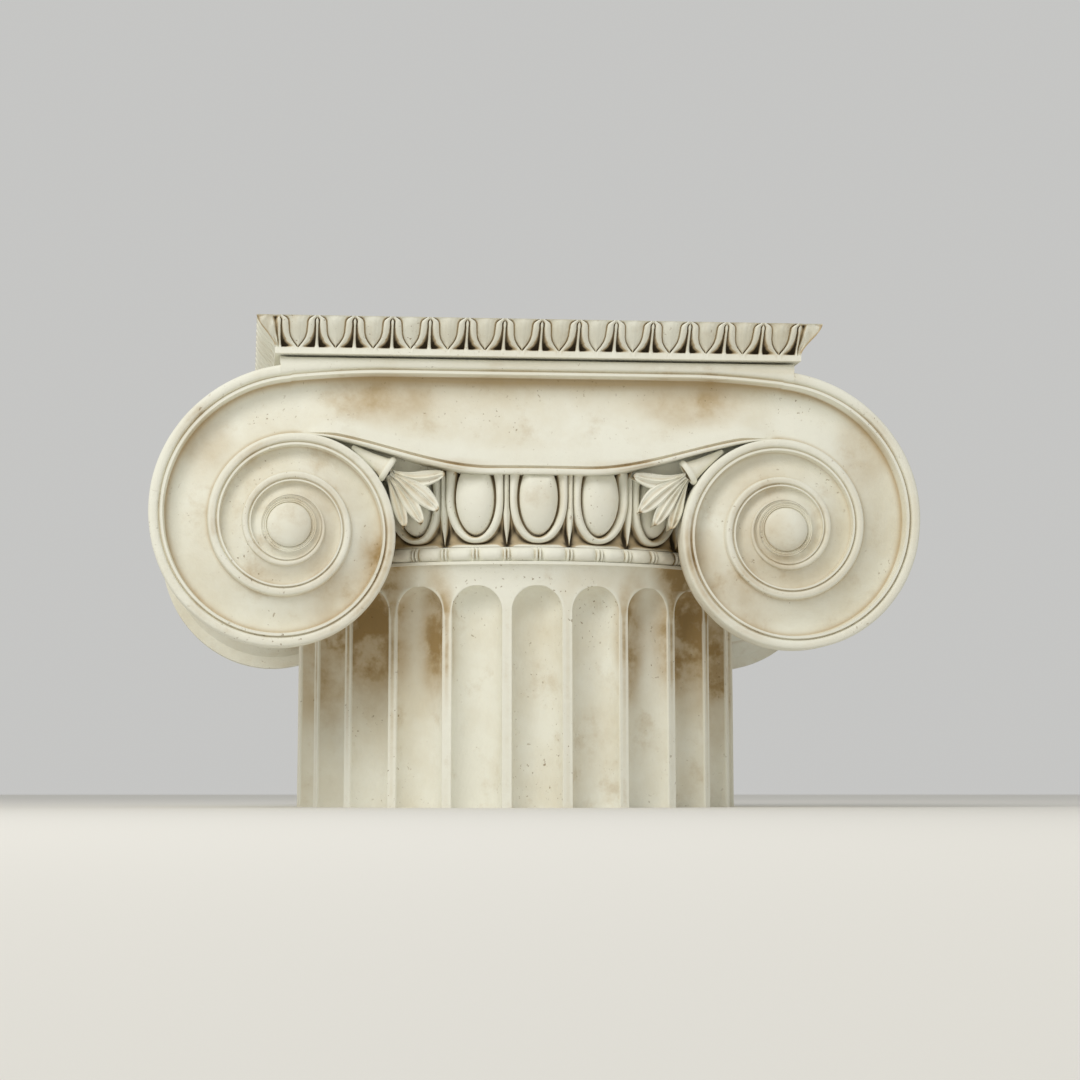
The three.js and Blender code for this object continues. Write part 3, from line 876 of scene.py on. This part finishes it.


# Where water has stood, and where shade is painted under the volutes: middle and half extent in metres, and
# strength, the same on all four quarters.
STAINS_AND_SHADE = (
    ((0.300, 0.47, 0.785), (0.095, 0.09, 0.045), 0.75),     # the channel's ceiling
    ((0.640, 0.47, 0.700), (0.050, 0.09, 0.070), 0.45),
    ((0.420, 0.47, 0.560), (0.050, 0.09, 0.110), 0.35),
    ((0.480, 0.47, 0.440), (0.110, 0.09, 0.040), 0.30),
    ((0.170, 0.49, 0.655), (0.080, 0.06, 0.012), 0.90),     # the groove above the lip
    ((0.190, 0.42, 0.330), (0.032, 0.20, 0.120), 1.00),     # the flute beside the volute: a stain, with the volute's painted shadow on it
    ((0.300, 0.34, 0.360), (0.060, 0.25, 0.150), 1.15),     # painted shade on the shaft under the volute
    # this line and the next: painted shade under the volute, on the shaft's side and on the neck
    ((0.400, 0.20, 0.330), (0.070, 0.30, 0.180), 0.85),
    ((0.270, 0.42, 0.500), (0.070, 0.25, 0.050), 0.60),
)


def limestone():
    """Carved oolitic limestone, dressed by hand and washed by rain: matt, pale, fine-grained and pitted."""
    material = bpy.data.materials.get("carved_limestone")
    if material:
        return material
    colours = bpy.context.scene.capital_colours
    material = bpy.data.materials.new("carved_limestone")
    material.use_nodes = True
    tree = material.node_tree
    tree.nodes.clear()
    place = node(tree, "ShaderNodeTexCoord").outputs["Object"]
    hollow = node(tree, "ShaderNodeAttribute", {"attribute_name": "hollow"}).outputs["Fac"]

    # sizes are real ones, in metres, but the pits and the grain are a little coarse, so that they show
    noise = {}
    for name, size, detail, roughness in (
            ("beds", 0.200, 5.0, 0.60),             # broad beds of warmer and paler stone
            ("blooms", 0.075, 6.0, 0.65),           # faint iron blooms all over
            ("patches", 0.060, 4.0, 0.60),          # breaks up the stains and the painted shade under the volutes
            ("pits", 0.007, 2.0, 0.50),             # a few millimetres across
            ("pitted_beds", 0.120, 3.0, 0.60),      # where the pits lie
            ("grain", 0.0035, 3.0, 0.60),           # tooled, sugary grain
            ("tooling", 0.022, 3.0, 0.60)):         # slower unevenness under it
        noise[name] = node(tree, "ShaderNodeTexNoise",
                           {"Scale": 1 / size, "Detail": detail, "Roughness": roughness},
                           {"Vector": place}).outputs["Fac"]
    eased = {}
    for name, start, full, least, most in (
            ("blooms", 0.52, 0.78, 0.0, 0.42),
            ("patches", 0.30, 0.68, 0.45, 1.0),
            ("pits", 0.66, 0.74, 0.0, 1.0),
            ("pitted_beds", 0.45, 0.65, 0.0, 1.0)):
        eased[name] = node(tree, "ShaderNodeMapRange", {
            "interpolation_type": "SMOOTHSTEP", "From Min": start, "From Max": full,
            "To Min": least, "To Max": most}, {"Value": noise[name]}).outputs["Result"]
    beds = node(tree, "ShaderNodeValToRGB", None, {"Fac": noise["beds"]})
    ramp = beds.color_ramp
    ramp.elements[0].position, ramp.elements[1].position = 0.42, 0.68
    ramp.elements[0].color, ramp.elements[1].color = (*colours.pale, 1), (*colours.cream, 1)
    # the blooms, and with them the stains where water stood and the painted shade under the volutes
    mirrored = node(tree, "ShaderNodeVectorMath", {"operation": "ABSOLUTE"}, {0: place}).outputs["Vector"]
    stain_and_shade = eased["blooms"]
    for middle, extent, strength in STAINS_AND_SHADE:
        shifted = node(tree, "ShaderNodeMapping", {
            "vector_type": "POINT", "Scale": tuple(1 / e for e in extent),
            "Location": tuple(-m / e for m, e in zip(middle, extent))}, {"Vector": mirrored})
        away = node(tree, "ShaderNodeVectorMath", {"operation": "LENGTH"}, {0: shifted.outputs["Vector"]})
        inside = node(tree, "ShaderNodeMapRange", {
            "interpolation_type": "SMOOTHSTEP", "From Min": 1.5, "From Max": 0.35,
            "To Min": 0.0, "To Max": strength}, {"Value": away.outputs["Value"]})
        broken = node(tree, "ShaderNodeMath", {"operation": "MULTIPLY"},
                      {0: inside.outputs["Result"], 1: eased["patches"]})
        stain_and_shade = node(tree, "ShaderNodeMath", {"operation": "ADD", "use_clamp": True},
                       {0: stain_and_shade, 1: broken.outputs["Value"]}).outputs["Value"]
    stone = node(tree, "ShaderNodeMix", {"data_type": "RGBA", "B": (*colours.ochre, 1)},
                 {"Factor": stain_and_shade, "A": beds.outputs["Color"]}).outputs["Result"]
    for over, cause, start, full, most in (
            (colours.umber, stain_and_shade, 0.62, 1.0, 0.42),      # the middle of a stain, and of the painted shade under the volutes
            (colours.ochre, hollow, 0.10, 0.9, 0.75),       # painted shade in the hollows, warm like light thrown back from the stone, with some dust
            (colours.deep_cut_shade, hollow, 0.8, 2.6, 0.96),        # painted shade in the deepest cuts
            (colours.pale, hollow, -0.12, -0.9, 0.7)):      # a painted highlight on proud edges, with their wear
        share = node(tree, "ShaderNodeMapRange", {
            "interpolation_type": "SMOOTHSTEP", "From Min": start, "From Max": full,
            "To Min": 0.0, "To Max": most}, {"Value": cause})
        stone = node(tree, "ShaderNodeMix", {"data_type": "RGBA", "B": (*over, 1)},
                     {"Factor": share.outputs["Result"], "A": stone}).outputs["Result"]
    # pits, darker than the stone and sunk into it
    pitted = node(tree, "ShaderNodeMath", {"operation": "MULTIPLY"},
                  {0: eased["pits"], 1: eased["pitted_beds"]}).outputs["Value"]
    share = node(tree, "ShaderNodeMath", {"operation": "MULTIPLY", 1: 0.75}, {0: pitted})
    stone = node(tree, "ShaderNodeMix", {"data_type": "RGBA", "B": (*colours.umber, 1)},
                 {"Factor": share.outputs["Value"], "A": stone}).outputs["Result"]
    sugar = node(tree, "ShaderNodeMath", {"operation": "MULTIPLY", 1: 0.5}, {0: noise["grain"]})
    grain = node(tree, "ShaderNodeMath", {"operation": "SUBTRACT"},
                 {0: sugar.outputs["Value"], 1: pitted}).outputs["Value"]
    fine = node(tree, "ShaderNodeBump", {"Strength": 0.55, "Distance": 0.0012}, {"Height": grain})
    slow = node(tree, "ShaderNodeBump", {"Strength": 0.45, "Distance": 0.003},
                {"Height": noise["tooling"], "Normal": fine.outputs["Normal"]})
    shader = node(tree, "ShaderNodeBsdfPrincipled", {"Roughness": 0.88, "Specular IOR Level": 0.25},
                  {"Base Color": stone, "Normal": slow.outputs["Normal"]})
    node(tree, "ShaderNodeOutputMaterial", None, {"Surface": shader.outputs["BSDF"]})
    return material


# ---- stage ----

class CAPITAL_OT_stage(Operator):
    """Set the floor, the light and the camera"""
    bl_idname = "capital.stage"
    bl_label = "Stage"

    def execute(self, context):
        scene = context.scene
        colours = scene.capital_colours
        floor = bmesh.new()
        bmesh.ops.create_grid(floor, x_segments=1, y_segments=1, size=30)
        mesh = bpy.data.meshes.new("floor")
        floor.to_mesh(mesh)
        floor.free()
        paint = bpy.data.materials.new("matt_floor_paint")
        paint.use_nodes = True
        shader = paint.node_tree.nodes["Principled BSDF"].inputs
        shader["Base Color"].default_value = (*colours.floor, 1)
        shader["Roughness"].default_value = 0.9
        mesh.materials.append(paint)
        ground = bpy.data.objects.new("floor", mesh)
        scene.collection.objects.link(ground)
        world = bpy.data.worlds.new("overcast")
        world.use_nodes = True
        sky = world.node_tree.nodes["Background"].inputs
        sky["Color"].default_value = (*linear(0xF4F4F2), 1)
        sky["Strength"].default_value = 0.62
        scene.world = world
        for name, place, size, power, tint in (
                ("sky_key", (-3.0, -4.6, 4.6), 3.4, 205, 0xFFFDF8),
                ("fill", (4.5, -3.5, 1.8), 4.0, 12, 0xF6F8FF)):
            light = bpy.data.lights.new(name, "AREA")
            light.size = size
            light.energy = power
            light.color = linear(tint)
            lamp = bpy.data.objects.new(name, light)
            lamp.location = place
            aim = Vector((0, 0, 0.6)) - Vector(place)
            lamp.rotation_euler = aim.to_track_quat("-Z", "Y").to_euler()
            scene.collection.objects.link(lamp)
        # low and a little to the left, looking up and turned to the middle of the front face
        left, away, low, looking_up = 0.561, 5.85, 0.03, 5.1
        camera = bpy.data.objects.new("camera", bpy.data.cameras.new("camera"))
        camera.data.lens = 94.2
        camera.location = (-left, -away, low)
        turn = math.atan2(left, away - scene.capital_sizes.face_distance)
        camera.rotation_euler = (math.pi / 2 + math.radians(looking_up), 0, -turn)
        scene.collection.objects.link(camera)
        scene.camera = camera
        scene.view_settings.view_transform = "Standard"
        return {"FINISHED"}


class CAPITAL_PT_sidebar(Panel):
    """Sizes, colours and the steps of the carving"""
    bl_idname = "CAPITAL_PT_sidebar"
    bl_label = "Ionic capital"
    bl_space_type = "VIEW_3D"
    bl_region_type = "UI"
    bl_category = "Capital"

    def draw(self, context):
        for group in (context.scene.capital_sizes, context.scene.capital_colours):
            for name in group.__annotations__:
                self.layout.prop(group, name)
        for step in STEPS:
            self.layout.operator(step.bl_idname)


STEPS = (CAPITAL_OT_shaft, CAPITAL_OT_astragal, CAPITAL_OT_echinus, CAPITAL_OT_faces, CAPITAL_OT_eyes,
         CAPITAL_OT_bolsters, CAPITAL_OT_palmettes, CAPITAL_OT_cushion, CAPITAL_OT_abacus, CAPITAL_OT_stage)
CLASSES = (CapitalSizes, CapitalColours, *STEPS, CAPITAL_PT_sidebar)


def register():
    for item in CLASSES:
        bpy.utils.register_class(item)
    bpy.types.Scene.capital_sizes = PointerProperty(type=CapitalSizes)
    bpy.types.Scene.capital_colours = PointerProperty(type=CapitalColours)


def unregister():
    del bpy.types.Scene.capital_colours
    del bpy.types.Scene.capital_sizes
    for item in reversed(CLASSES):
        bpy.utils.unregister_class(item)


def main():
    register()
    for step in STEPS:
        getattr(bpy.ops.capital, step.bl_idname.split(".")[1])()


if __name__ == "__main__":
    main()
